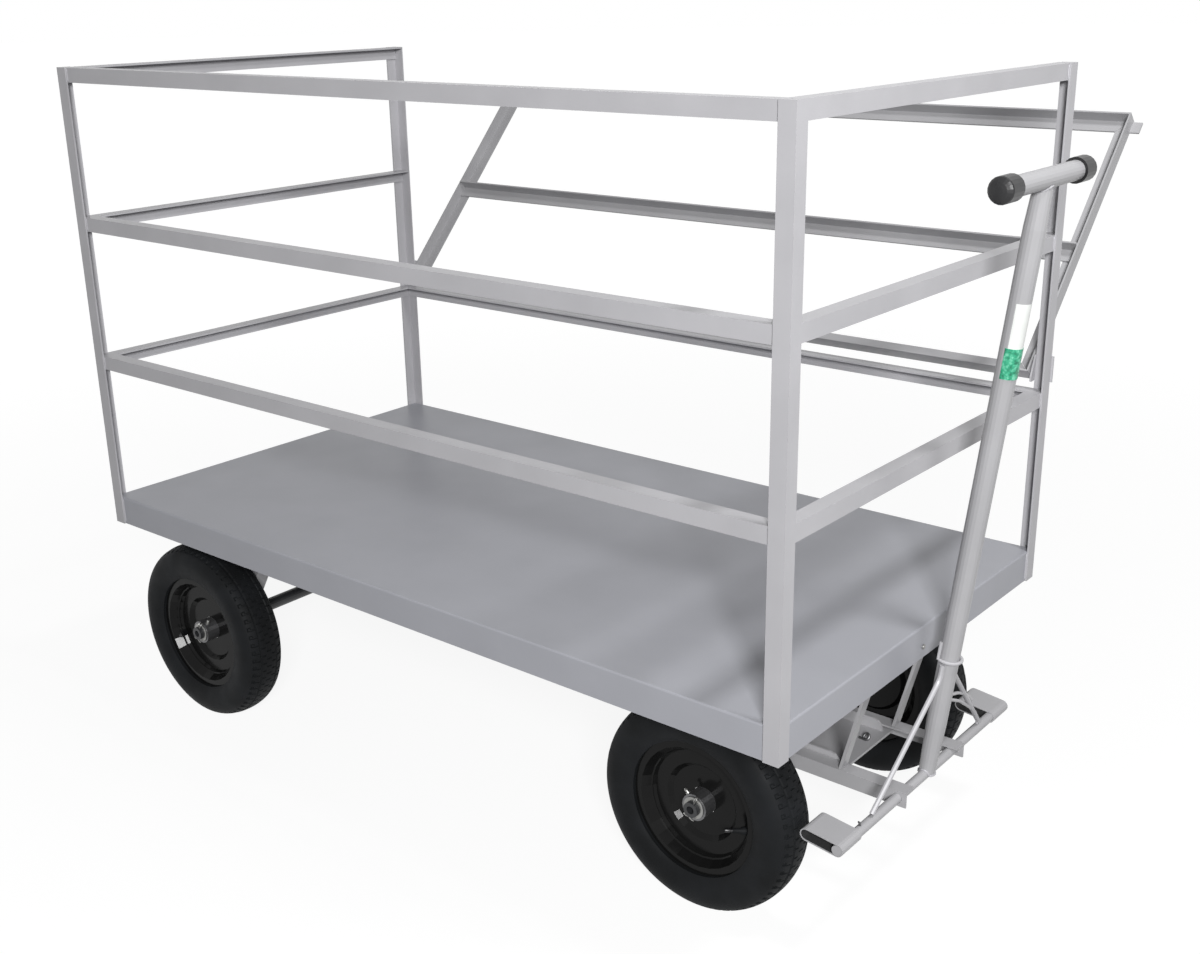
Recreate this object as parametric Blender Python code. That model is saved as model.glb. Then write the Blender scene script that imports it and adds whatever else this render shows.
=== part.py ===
# Platform hand cart with a turntable front axle, three railed sides and a
# drop gate on the far side.
# Metres, +Z up. The rear end is towards -X, the drawbar towards +X, the near
# side is -Y and the gate side is +Y. The floor is at z = 0.

import bpy
import bmesh
from math import acos, cos, pi, radians, sin, sqrt
from mathutils import Matrix, Vector

# Fits
GAP = 0.0003              # between faces that touch
OVERRUN = 0.004           # how far a cutter runs past what it cuts
PIN_PLAY = 0.0005         # radial play of a pin or bearing in its hole

# Load platform
LENGTH = 1.511            # over the corner posts, along X
WIDTH = 0.800             # over the corner posts, along Y
DECK_TOP = 0.4257         # load surface above the floor
SKIRT = 0.0532            # depth of the deck's folded skirts
SHEET = 0.002             # deck sheet
DECK_FOLD = 0.0025        # outer radius of the folds along the deck's edges

# Posts and rails, all rolled steel angle
POST_TOP = 1.2200
LEG = 0.025               # leg of the angle
WALL = 0.003              # its thickness
RAIL_TOPS = {"low": 0.7037, "mid": 0.9600, "top": POST_TOP - GAP}

# Bearers under the deck
BEARER_DEEP = 0.025
BEARER_WIDE = 0.050
MID_BEARER_X = 0.730
REAR_BEARER_OFFSET = 0.129   # rear bearers, either side of the rear axle
RING_BEARER_OFFSET = 0.130   # front bearers, either side of the steering axis

# Wheels
TYRE_R = 0.1725
TYRE_WIDE = 0.086
RIM_R = 0.110
RIM_SEAT = 0.1015
RIM_WIDE = 0.058
RIM_SHEET = 0.003
WELL_R = 0.088
WELL_HALF = 0.014
DISC_OUT = 0.008          # the disc's outer face beyond the wheel's middle plane
BOWL_R = 0.064            # where the disc steps inward
BOWL_DEEP = 0.007
HUB_R = 0.0218
HUB_LONG = 0.054
REAR_AXLE_X = 0.180
FRONT_AXLE_X = 1.293
REAR_INSET = 0.0658        # rear wheels' middle planes inside the deck's sides
REAR_TRACK = WIDTH - 2 * REAR_INSET
FRONT_TRACK = 0.5136

# Axles
AXLE_R = 0.0125
AXLE_BORE_R = 0.0065
AXLE_PROUD = 0.037        # axle end beyond the wheel's middle plane

# Rear axle legs, folded from sheet
LEG_SHEET = 0.004
REAR_LEG_IN = 0.0512      # outer face of each leg inside the wheel's middle plane
REAR_LEG_Y = REAR_TRACK / 2 - REAR_LEG_IN
REAR_LEG_DEEP = 0.033
REAR_LEG_TOP = 0.307
REAR_LEG_FOOT = 0.052

# Turntable
RING_R = 0.2075
RING_WIDE = 0.042
RING_PLATE = 0.004
RING_BASE = 0.3700        # underside of the lower ring
RACE_R = 0.189
RACE_PLAY = 0.0008

# Front axle saddle
SADDLE_SHEET = 0.004
SADDLE_BACK = 0.045
SADDLE_FRONT = 0.134
CHEEK_Y = 0.0700          # outer face of each cheek, inside the tow arms
CHEEK_FRONT = 0.1240      # front end of a cheek's low lip
CHEEK_LIP = 0.0190        # height of the lip above the saddle's base
CHEEK_NECK = 0.040        # where the lip ends and the cheek leans back
CHEEK_HEAD_BACK = 0.175   # cheek's top, behind the steering axis
CHEEK_HEAD_FRONT = 0.090

# Tow arms and struts
ARM_Y = 0.096             # outer face of each tow arm
ARM_BASE = 0.1745
ARM_PAST = 0.0155         # arm end past the crossbar's axis
STRUT_WIDE = 0.019
STRUT_THICK = 0.005
STRUT_Y = 0.0840          # middle of each strut, on the tow arm's upper leg
STRUT_FOOT_X = 0.1380
STRUT_HEAD_X = 0.1825

# Drawbar
CROSSBAR_R = 0.008
CROSSBAR_X = 0.237        # ahead of the steering axis
CROSSBAR_Z = 0.187
CROSSBAR_HALF = 0.271
DRAWBAR_LEAN = radians(6.82)
DRAWBAR_LONG = 0.9175     # crossbar axis to grip axis
TUBE_R = 0.0155
TUBE_WALL = 0.0025
TUBE_END_R = 0.0125       # both ends are pressed narrower
TUBE_HEAD_TAPER = 0.065
TUBE_FOOT_TAPER = 0.090
GRIP_R = 0.014
GRIP_HALF = 0.126         # grip tube, each side of the drawbar
CAP_R = 0.018
CAP_START = 0.100
CAP_END = 0.138
CAP_DOME = 0.007
SHOE_WIDE = 0.053
SHOE_LONG = 0.0608        # crossbar's axis to the shoe's rear end
SHOE_WALL = 0.0016
BRACE_R = 0.004
BRACE_HEAD = 0.198        # top of each brace above the crossbar's axis
BRACE_HEAD_LONG = 0.024   # straight part beside the tube
BRACE_BEND = 0.030
BRACE_FOOT = 0.175        # foot of each brace along the crossbar
HOOK_R = 0.0027
HOOK_Z = 0.203
HOOK_SWEEP = 250
HOOK_TAIL = 0.028

# Gate on the far side
GATE_END_GAP = 0.0303     # from the corner posts' outer faces, each end
GATE_TALL = 0.522
GATE_MID = 0.2505          # middle rail's top above the gate's bottom edge
GATE_OPEN = radians(42.7)
HINGE_OUT = 0.0           # hinge axis beyond the posts' far face
HINGE_Z = 0.7328
HINGE_IN = 0.0085         # hinge axis inside the gate's outer face
HINGE_UP = 0.0120         # hinge axis above the gate's bottom edge
HINGE_PIN_R = 0.004
EAR_SHEET = 0.003
EAR_TALL = 0.043
EAR_BELOW = 0.016
EAR_OUT = 0.016
EAR_IN = 0.016
EAR_NOSE = 0.022          # height of the ear's square lower part outside the post
EAR_HEEL = 0.009          # and inside it
EAR_PAST = 0.003          # back plate beyond the post's outer edge
CATCH_OUT = 0.0165
CATCH_TALL = 0.022
CATCH_DOWN = 0.0036

# Segments of round pieces
TYRE_STEPS = 36
RIM_STEPS = 30
RING_STEPS = 44
ROUND_STEPS = 20
PIN_STEPS = 12

# Places worked out from the sizes above
DECK_BASE = DECK_TOP - SKIRT
BEARER_TOP = DECK_TOP - SHEET - GAP
BEARER_BASE = BEARER_TOP - BEARER_DEEP
RING_TOP = BEARER_BASE - GAP
FRAME_BASE = TYRE_R + AXLE_R + GAP
FRAME_TOP = FRAME_BASE + SADDLE_SHEET
GRIP_X = FRONT_AXLE_X + CROSSBAR_X + DRAWBAR_LONG * sin(DRAWBAR_LEAN)
GATE_FAR = (WIDTH / 2 + HINGE_OUT + (GATE_TALL - HINGE_UP) * sin(GATE_OPEN)
            + HINGE_IN * cos(GATE_OPEN))
MIDDLE_X = (GRIP_X + CAP_R - EAR_PAST) / 2
MIDDLE_Y = (GATE_FAR - WIDTH / 2) / 2


def material(name, colour, roughness, metallic):
    mat = bpy.data.materials.get(name) or bpy.data.materials.new(name)
    mat.use_nodes = True
    shader = mat.node_tree.nodes["Principled BSDF"]
    shader.inputs["Base Color"].default_value = (*colour, 1.0)
    shader.inputs["Roughness"].default_value = roughness
    shader.inputs["Metallic"].default_value = metallic
    return mat


def paint():
    return material("grey_paint", (0.50, 0.49, 0.52), 0.45, 0.0)


def deck_paint():
    return material("deck_paint", (0.30, 0.31, 0.35), 0.40, 0.0)


def black_paint():
    return material("black_paint", (0.012, 0.012, 0.013), 0.30, 0.0)


def steel():
    return material("bright_steel", (0.30, 0.30, 0.31), 0.40, 1.0)


def tyre_rubber():
    return material("tyre_rubber", (0.018, 0.020, 0.022), 0.80, 0.0)


def cap_plastic():
    return material("cap_plastic", (0.015, 0.015, 0.017), 0.40, 0.0)


def clear_scene():
    for old in list(bpy.data.objects):
        bpy.data.objects.remove(old, do_unlink=True)


def pivot(name, place, parent=None, rotation=(0.0, 0.0, 0.0)):
    empty = bpy.data.objects.new(name, None)
    empty.location = place
    empty.rotation_euler = rotation
    empty.parent = parent
    bpy.context.collection.objects.link(empty)
    return empty


def put(name, mesh, mat, parent, place=(0.0, 0.0, 0.0), rotation=(0.0, 0.0, 0.0)):
    obj = bpy.data.objects.new(name, mesh)
    if not mesh.materials:
        mesh.materials.append(mat)
    obj.location = place
    obj.rotation_euler = rotation
    obj.parent = parent
    bpy.context.collection.objects.link(obj)
    return obj


def finish(name, bm, round_piece=False):
    bmesh.ops.recalc_face_normals(bm, faces=bm.faces)
    mesh = bpy.data.meshes.new(name)
    bm.to_mesh(mesh)
    bm.free()
    if round_piece:
        mesh.shade_smooth()
        mesh.set_sharp_from_angle(angle=radians(40))
    return mesh


def cutter(name, mesh, parent, place=(0.0, 0.0, 0.0), rotation=(0.0, 0.0, 0.0)):
    obj = bpy.data.objects.new(name, mesh)
    obj.location = place
    obj.rotation_euler = rotation
    obj.parent = parent
    obj.hide_render = True
    obj.display_type = "WIRE"
    bpy.context.collection.objects.link(obj)
    return obj


def boolean(target, tool, operation="DIFFERENCE"):
    mod = target.modifiers.new(tool.name, "BOOLEAN")
    mod.operation = operation
    mod.solver = "EXACT"
    mod.object = tool


def slab(name, outline, low, high):
    """An outline in X and Z, with thickness along Y from low to high."""
    bm = bmesh.new()
    front = [bm.verts.new((x, low, z)) for x, z in outline]
    back = [bm.verts.new((x, high, z)) for x, z in outline]
    bm.faces.new(front)
    bm.faces.new(reversed(back))
    for i in range(len(outline)):
        j = (i + 1) % len(outline)
        bm.faces.new((front[i], front[j], back[j], back[i]))
    return finish(name, bm)


def band(name, outer, inner, low, high):
    """The strip between two outlines in X and Z, with thickness along Y."""
    bm = bmesh.new()
    count = len(outer)
    loops = [[bm.verts.new((x, y, z)) for x, z in line] for y in (low, high)
             for line in (outer, inner)]
    for i in range(count):
        j = (i + 1) % count
        for one, other in ((0, 1), (1, 3), (3, 2), (2, 0)):
            bm.faces.new((loops[one][i], loops[one][j], loops[other][j], loops[other][i]))
    return finish(name, bm)


def box(name, low, high):
    outline = [(low[0], low[2]), (high[0], low[2]), (high[0], high[2]), (low[0], high[2])]
    return slab(name, outline, low[1], high[1])


def turned(name, profile, steps):
    """A closed profile of (radius, along) turned about the Y axis."""
    bm = bmesh.new()
    tips = {i: bm.verts.new((0.0, y, 0.0)) for i, (r, y) in enumerate(profile) if r == 0}
    rings = []
    for k in range(steps):
        a = 2 * pi * k / steps
        rings.append([tips.get(i) or bm.verts.new((r * cos(a), y, r * sin(a)))
                      for i, (r, y) in enumerate(profile)])
    for k in range(steps):
        here = rings[k]
        there = rings[(k + 1) % steps]
        for i in range(len(profile)):
            j = (i + 1) % len(profile)
            corners = list(dict.fromkeys((here[i], there[i], there[j], here[j])))
            if len(corners) > 2:
                bm.faces.new(corners)
    return finish(name, bm, True)


def rod(name, radius, low, high, steps, bore=0.0):
    """A round bar or tube along Y."""
    if bore:
        return turned(name, [(radius, low), (radius, high), (bore, high), (bore, low)], steps)
    bm = bmesh.new()
    ends = []
    for y in (low, high):
        ends.append([bm.verts.new((radius * cos(2 * pi * k / steps), y,
                                   radius * sin(2 * pi * k / steps))) for k in range(steps)])
    bm.faces.new(ends[0])
    bm.faces.new(reversed(ends[1]))
    for k in range(steps):
        j = (k + 1) % steps
        bm.faces.new((ends[0][k], ends[0][j], ends[1][j], ends[1][k]))
    return finish(name, bm, True)


def angle_bar(name, length, mitre_in=(0, 0), mitre_down=(0, 0)):
    """Steel angle along +X: one leg hangs down from y = 0, one lies inward on top.

    A mitre of 1 cuts that end at 45 degrees, by the depth inward or down.
    """
    section = [(0.0, 0.0), (0.0, -LEG), (WALL, -LEG), (WALL, -WALL), (LEG, -WALL), (LEG, 0.0)]
    bm = bmesh.new()
    start = []
    end = []
    for y, z in section:
        start.append(bm.verts.new((GAP + mitre_in[0] * y - mitre_down[0] * z, y, z)))
        end.append(bm.verts.new((length - GAP - mitre_in[1] * y + mitre_down[1] * z, y, z)))
    bm.faces.new(start)
    bm.faces.new(reversed(end))
    for i in range(len(section)):
        j = (i + 1) % len(section)
        bm.faces.new((start[i], start[j], end[j], end[i]))
    return finish(name, bm)


def wire(name, points, radius, mat, parent, place=(0.0, 0.0, 0.0)):
    curve = bpy.data.curves.new(name, "CURVE")
    curve.dimensions = "3D"
    curve.bevel_depth = radius
    curve.bevel_resolution = 2
    curve.render_resolution_u = 0
    curve.use_fill_caps = True
    spline = curve.splines.new("POLY")
    spline.points.add(len(points) - 1)
    for knot, spot in zip(spline.points, points):
        knot.co = (*spot, 1.0)
    curve.materials.append(mat)
    obj = bpy.data.objects.new(name, curve)
    obj.location = place
    obj.parent = parent
    bpy.context.collection.objects.link(obj)
    return obj


def rounded(corners, bend, steps=5):
    """A path through the corners, each inner one replaced by an arc of radius bend."""
    path = [Vector(corners[0])]
    for before, here, after in zip(corners, corners[1:], corners[2:]):
        here = Vector(here)
        back = (Vector(before) - here).normalized()
        onward = (Vector(after) - here).normalized()
        half = acos(max(-1.0, min(1.0, back.dot(onward)))) / 2
        reach = bend / max(0.1, sin(half)) * cos(half)
        centre = here + (back + onward).normalized() * bend / sin(half)
        first = here + back * reach - centre
        last = here + onward * reach - centre
        swing = first.angle(last)
        for k in range(steps + 1):
            share = k / steps
            spot = (first * sin((1 - share) * swing) + last * sin(share * swing)) / sin(swing)
            path.append(centre + spot)
    path.append(Vector(corners[-1]))
    return path


def post(name, sign_x, sign_y, cart):
    """A corner post: steel angle with its corner outward."""
    section = [(0.0, 0.0), (LEG, 0.0), (LEG, WALL), (WALL, WALL), (WALL, LEG), (0.0, LEG)]
    bm = bmesh.new()
    base = [bm.verts.new((-sign_x * x, -sign_y * y, DECK_BASE)) for x, y in section]
    head = [bm.verts.new((-sign_x * x, -sign_y * y, POST_TOP)) for x, y in section]
    bm.faces.new(base)
    bm.faces.new(reversed(head))
    for i in range(len(section)):
        j = (i + 1) % len(section)
        bm.faces.new((base[i], base[j], head[j], head[i]))
    corner_x = LENGTH if sign_x > 0 else 0.0
    put(name, finish(name, bm), paint(), cart, (corner_x, sign_y * WIDTH / 2, 0.0))


def posts(cart):
    post("post_rear_near", -1, -1, cart)
    post("post_front_near", 1, -1, cart)
    post("post_rear_far", -1, 1, cart)
    post("post_front_far", 1, 1, cart)


def rails(cart):
    """Angle rails inside the posts; the gate side has only the low one."""
    inset = WALL + GAP
    long_run = LENGTH - 2 * inset
    short_run = WIDTH - 2 * inset
    for level, top in RAIL_TOPS.items():
        far_mitre = 1 if level == "low" else 0
        runs = {
            "near": (long_run, (inset, -WIDTH / 2 + inset), 0.0, (1, 1)),
            "front": (short_run, (LENGTH - inset, -WIDTH / 2 + inset), pi / 2, (1, far_mitre)),
            "rear": (short_run, (inset, WIDTH / 2 - inset), -pi / 2, (far_mitre, 1)),
        }
        if level == "low":
            runs["far"] = (long_run, (LENGTH - inset, WIDTH / 2 - inset), pi, (1, 1))
        for side, (run, (x, y), turn, mitre) in runs.items():
            name = "rail_" + side + "_" + level
            put(name, angle_bar(name, run, mitre_in=mitre), paint(), cart, (x, y, top),
                (0.0, 0.0, turn))


def deck(cart):
    """A folded steel pan: flat top with four skirts, open below."""
    inset = WALL + GAP
    bm = bmesh.new()
    bmesh.ops.create_cube(bm, size=1.0)
    size = (LENGTH - 2 * inset, WIDTH - 2 * inset, SKIRT)
    bmesh.ops.scale(bm, vec=size, verts=bm.verts)
    folds = [e for e in bm.edges if e.verts[0].co.z + e.verts[1].co.z > -SKIRT / 2]
    bmesh.ops.bevel(bm, geom=folds, offset=DECK_FOLD, segments=2, profile=1 / 2,
                    affect="EDGES")
    pan = put("deck", finish("deck", bm), deck_paint(), cart,
              (LENGTH / 2, 0.0, DECK_BASE + SKIRT / 2))
    edge = inset + SHEET
    low = (edge, -WIDTH / 2 + edge, DECK_BASE - OVERRUN)
    high = (LENGTH - edge, WIDTH / 2 - edge, DECK_TOP - SHEET)
    boolean(pan, cutter("deck_hollow", box("deck_hollow", low, high), cart))


def bearer(name, x, cart):
    """A folded channel across the underside of the deck, open downward."""
    half = BEARER_WIDE / 2
    outline = [(-half, 0.0), (-half, -BEARER_DEEP), (-half + WALL, -BEARER_DEEP),
               (-half + WALL, -WALL), (half - WALL, -WALL), (half - WALL, -BEARER_DEEP),
               (half, -BEARER_DEEP), (half, 0.0)]
    reach = WIDTH / 2 - WALL - SHEET - 2 * GAP
    put(name, slab(name, outline, -reach, reach), paint(), cart, (x, 0.0, BEARER_TOP))


def bearers(cart):
    bearer("bearer_rear_back", REAR_AXLE_X - REAR_BEARER_OFFSET, cart)
    bearer("bearer_rear_front", REAR_AXLE_X + REAR_BEARER_OFFSET, cart)
    bearer("bearer_middle", MID_BEARER_X, cart)
    bearer("bearer_ring_back", FRONT_AXLE_X - RING_BEARER_OFFSET, cart)
    bearer("bearer_ring_front", FRONT_AXLE_X + RING_BEARER_OFFSET, cart)


def folded_leg(name, top, foot, tall, deep, parent, place, facing):
    """A tapered leg folded from sheet: a web with a flange down each edge."""
    def outline(inset, lift):
        slope = (top - foot) / 2 / tall
        low = foot / 2 - inset + slope * lift
        high = top / 2 - inset + slope * -lift
        return low, high
    outer = [(-foot / 2, 0.0), (foot / 2, 0.0), (top / 2, tall), (-top / 2, tall)]
    low, high = outline(LEG_SHEET, -OVERRUN)
    inner = [(-low, -OVERRUN), (low, -OVERRUN), (high, tall + OVERRUN), (-high, tall + OVERRUN)]
    web = (0.0, facing * deep)
    leg = put(name, slab(name, outer, min(web), max(web)), paint(), parent, place)
    hollow = (facing * LEG_SHEET, facing * (deep + OVERRUN))
    tool = cutter(name + "_hollow", slab(name + "_hollow", inner, min(hollow), max(hollow)),
                  parent, place)
    boolean(leg, tool)
    return leg


def rear_axle(cart):
    foot_z = TYRE_R + AXLE_R + GAP
    tall = BEARER_BASE - GAP - foot_z
    for side, sign in (("near", -1), ("far", 1)):
        folded_leg("rear_leg_" + side, REAR_LEG_TOP, REAR_LEG_FOOT, tall, REAR_LEG_DEEP, cart,
                   (REAR_AXLE_X, sign * REAR_LEG_Y, foot_z), -sign)
    reach = REAR_TRACK / 2 + AXLE_PROUD
    mesh = rod("rear_axle", AXLE_R, -reach, reach, ROUND_STEPS, AXLE_BORE_R)
    put("rear_axle", mesh, black_paint(), cart, (REAR_AXLE_X, 0.0, TYRE_R))


def ring(name, profile, parent, place):
    """A profile of (radius, height) turned about the steering axis."""
    mesh = turned(name, profile, RING_STEPS)
    mesh.transform(Matrix.Rotation(pi / 2, 4, "X"))
    put(name, mesh, paint(), parent, place)


def upper_ring(cart):
    """Angle ring bolted under the deck, its wall hanging outside."""
    inner = RING_R - RING_WIDE
    wall = RING_R - RING_PLATE
    tall = (RING_TOP - RING_BASE - RACE_PLAY) / 2
    profile = [(inner, 0.0), (RING_R, 0.0), (RING_R, -tall), (wall, -tall),
               (wall, -RING_PLATE), (inner, -RING_PLATE)]
    ring("turntable_upper", profile, cart, (FRONT_AXLE_X, 0.0, RING_TOP))


def lower_ring(steer):
    """Angle ring on the axle's frame, with the ball race standing inside."""
    inner = RING_R - RING_WIDE
    wall = RING_R - RING_PLATE
    race = RACE_R - RING_PLATE
    tall = (RING_TOP - RING_BASE - RACE_PLAY) / 2
    head = RING_TOP - RING_BASE - RING_PLATE - RACE_PLAY
    profile = [(inner, 0.0), (RING_R, 0.0), (RING_R, tall), (wall, tall), (wall, RING_PLATE),
               (RACE_R, RING_PLATE), (RACE_R, head), (race, head), (race, RING_PLATE),
               (inner, RING_PLATE)]
    ring("turntable_lower", profile, steer, (0.0, 0.0, RING_BASE))


def saddle(steer):
    """Folded sheet on the front axle: a base and two cheeks that lean back to the turntable."""
    half = ARM_Y - WALL - GAP
    base = box("axle_saddle", (-SADDLE_BACK, -half, FRAME_BASE), (SADDLE_FRONT, half, FRAME_TOP))
    body = put("axle_saddle", base, paint(), steer)
    head = RING_BASE - GAP
    arc = 3
    for side, sign in (("near", -1), ("far", 1)):
        lip = [(CHEEK_FRONT - CHEEK_LIP * (1 - cos(pi / 2 * k / arc)),
                FRAME_TOP + CHEEK_LIP * sin(pi / 2 * k / arc)) for k in range(arc + 1)]
        outline = [(-SADDLE_BACK, FRAME_BASE), (CHEEK_FRONT, FRAME_BASE)] + lip + [
            (CHEEK_NECK, FRAME_TOP + CHEEK_LIP), (-CHEEK_HEAD_FRONT, head),
            (-CHEEK_HEAD_BACK, head)]
        edges = (sign * CHEEK_Y, sign * (CHEEK_Y - SADDLE_SHEET))
        cheek = slab("saddle_cheek_" + side, outline, min(edges), max(edges))
        boolean(body, cutter("saddle_cheek_" + side, cheek, steer), "UNION")


def front_frame(steer):
    reach = FRONT_TRACK / 2 + AXLE_PROUD
    mesh = rod("front_axle", AXLE_R, -reach, reach, ROUND_STEPS, AXLE_BORE_R)
    put("front_axle", mesh, black_paint(), steer, (0.0, 0.0, TYRE_R))
    saddle(steer)
    for side, sign in (("near", -1), ("far", 1)):
        tow_arm("tow_arm_" + side, sign, steer)
        strut("strut_" + side, sign, steer)


def tow_arm(name, sign, steer):
    """Angle from the axle out to the drawbar's crossbar, bored for it."""
    start = AXLE_R + GAP
    run = CROSSBAR_X + ARM_PAST - start
    mesh = angle_bar(name, run)
    if sign > 0:
        mesh.transform(Matrix.Scale(-1, 4, (0.0, 1.0, 0.0)))
        mesh.flip_normals()
    arm = put(name, mesh, paint(), steer, (start, sign * ARM_Y, ARM_BASE + LEG))
    hole = rod(name + "_bore", CROSSBAR_R + PIN_PLAY, -LEG, LEG, ROUND_STEPS)
    boolean(arm, cutter(name + "_bore", hole, steer, (CROSSBAR_X, sign * ARM_Y, CROSSBAR_Z)))


def strut(name, sign, steer):
    """Flat bar from the top of the tow arm up to the turntable's rim."""
    foot = ARM_BASE + LEG + GAP
    head = RING_BASE - GAP
    lean = (STRUT_HEAD_X - STRUT_FOOT_X) / (head - foot)
    half = STRUT_THICK / 2 * sqrt(1 + lean * lean)
    outline = [(STRUT_FOOT_X - half, foot), (STRUT_FOOT_X + half, foot),
               (STRUT_HEAD_X + half, head), (STRUT_HEAD_X - half, head)]
    edges = (sign * (STRUT_Y + STRUT_WIDE / 2), sign * (STRUT_Y - STRUT_WIDE / 2))
    put(name, slab(name, outline, min(edges), max(edges)), paint(), steer)


def drawbar(tow, lean):
    """Crossbar on the hinge axis, the rest modelled along the leaning tube."""
    bar = rod("crossbar", CROSSBAR_R, -CROSSBAR_HALF, CROSSBAR_HALF, ROUND_STEPS)
    put("crossbar", bar, paint(), tow)
    outside = [(TUBE_END_R, 0.0), (TUBE_R, TUBE_FOOT_TAPER),
               (TUBE_R, DRAWBAR_LONG - TUBE_HEAD_TAPER), (TUBE_END_R, DRAWBAR_LONG)]
    inside = [(r - TUBE_WALL, z) for r, z in reversed(outside)]
    tube = turned("drawbar_tube", outside + inside, ROUND_STEPS)
    tube.transform(Matrix.Rotation(pi / 2, 4, "X"))
    stem = put("drawbar_tube", tube, paint(), lean)
    for name, radius, height in (("tube_foot", CROSSBAR_R, 0.0), ("tube_head", GRIP_R, DRAWBAR_LONG)):
        saddle_cut = rod(name, radius + GAP, -2 * TUBE_R, 2 * TUBE_R, ROUND_STEPS)
        boolean(stem, cutter(name, saddle_cut, lean, (0.0, 0.0, height)))
    grip = rod("grip", GRIP_R, -GRIP_HALF, GRIP_HALF, ROUND_STEPS, GRIP_R - TUBE_WALL)
    put("grip", grip, paint(), lean, (0.0, 0.0, DRAWBAR_LONG))
    for side, sign in (("near", -1), ("far", 1)):
        grip_cap("grip_cap_" + side, sign, lean)
        brake_shoe("brake_shoe_" + side, sign, lean)
        brace("drawbar_brace_" + side, sign, lean)
    hook(lean)


def grip_cap(name, sign, tow):
    """A plastic cap with a domed end, pushed over the end of the grip."""
    bore = GRIP_R + GAP
    floor = GRIP_HALF + GAP
    shoulder = CAP_END - CAP_DOME
    profile = [(0.0, floor), (bore, floor), (bore, CAP_START), (CAP_R, CAP_START),
               (CAP_R, shoulder)]
    arc = 5
    for k in range(1, arc):
        a = pi / 2 * k / arc
        profile.append((CAP_R * cos(a), shoulder + CAP_DOME * sin(a)))
    profile.append((0.0, CAP_END))
    turn = pi if sign < 0 else 0.0
    put(name, turned(name, profile, ROUND_STEPS), cap_plastic(), tow, (0.0, 0.0, DRAWBAR_LONG),
        (0.0, 0.0, turn))


def brake_shoe(name, sign, lean):
    """Flat strap bent into a closed loop round the crossbar, its far bend behind the bar."""
    inside = CROSSBAR_R + GAP
    outside = inside + SHOE_WALL
    bend = outside - SHOE_LONG
    arc = 8
    loops = []
    for radius in (outside, inside):
        behind = [(bend + radius * cos(pi / 2 + pi * k / arc), radius * sin(pi / 2 + pi * k / arc))
                  for k in range(arc + 1)]
        ahead = [(-radius * cos(pi / 2 + pi * k / arc), -radius * sin(pi / 2 + pi * k / arc))
                 for k in range(arc + 1)]
        loops.append(behind + ahead)
    edges = (sign * CROSSBAR_HALF, sign * (CROSSBAR_HALF - SHOE_WIDE))
    put(name, band(name, loops[0], loops[1], min(edges), max(edges)), paint(), lean)


def brace(name, sign, lean):
    """Round rod from the side of the tube down to the crossbar."""
    beside = sign * (TUBE_R + BRACE_R + GAP)
    seat = CROSSBAR_R + BRACE_R + GAP
    corners = [(0.0, beside, BRACE_HEAD), (0.0, beside, BRACE_HEAD - BRACE_HEAD_LONG),
               (0.0, sign * BRACE_FOOT, seat)]
    wire(name, rounded(corners, BRACE_BEND), BRACE_R, paint(), lean)


def hook(lean):
    """Wire retaining hook round the front of the tube, both ends turned up behind."""
    around = TUBE_R + HOOK_R + GAP
    steps = 16
    first = radians(-HOOK_SWEEP / 2)
    ring_path = []
    for k in range(steps + 1):
        a = first + radians(HOOK_SWEEP) * k / steps
        ring_path.append(Vector((around * cos(a), around * sin(a), HOOK_Z)))
    up = Vector((0.0, 0.0, HOOK_TAIL))
    path = [ring_path[0] + up] + ring_path + [ring_path[-1] + up]
    wire("retaining_hook", path, HOOK_R, paint(), lean)


def gate(hinge):
    """Mitred frame of angle, modelled upright on its hinge axis, with a middle rail lapped
    inside its side bars."""
    long_run = LENGTH - 2 * GATE_END_GAP
    centre = Vector((LENGTH / 2, HINGE_IN, GATE_TALL / 2 - HINGE_UP))
    bars = [("gate_top", long_run, GATE_TALL, 0), ("gate_side_front", GATE_TALL, long_run, 1),
            ("gate_bottom", long_run, GATE_TALL, 2), ("gate_side_rear", GATE_TALL, long_run, 3)]
    sides = {}
    for name, run, across, quarter in bars:
        mesh = angle_bar(name, run, mitre_down=(1, 1))
        mesh.transform(Matrix.Translation((-run / 2, 0.0, across / 2)))
        mesh.transform(Matrix.Rotation(pi, 4, "Z"))
        mesh.transform(Matrix.Rotation(quarter * pi / 2, 4, "Y"))
        sides[name] = put(name, mesh, paint(), hinge, centre)
    middle = angle_bar("gate_middle", long_run - 2 * WALL)
    put("gate_middle", middle, paint(), hinge,
        (LENGTH - GATE_END_GAP - WALL, HINGE_IN - WALL - GAP, GATE_MID - HINGE_UP), (0.0, 0.0, pi))
    top = GATE_TALL - HINGE_UP - CATCH_DOWN
    for side, edge, sign in (("gate_side_rear", GATE_END_GAP, -1),
                             ("gate_side_front", LENGTH - GATE_END_GAP, 1)):
        hole = rod(side + "_bore", HINGE_PIN_R + GAP, -LEG, LEG, PIN_STEPS)
        boolean(sides[side], cutter(side + "_bore", hole, hinge, (edge, 0.0, 0.0),
                                    (0.0, 0.0, pi / 2)))
        ends = (edge - sign * WALL, edge + sign * CATCH_OUT)
        catch = box(side + "_catch", (min(ends), HINGE_IN - WALL, top - CATCH_TALL),
                    (max(ends), HINGE_IN, top))
        boolean(sides[side], cutter(side + "_catch", catch, hinge), "UNION")


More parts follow.
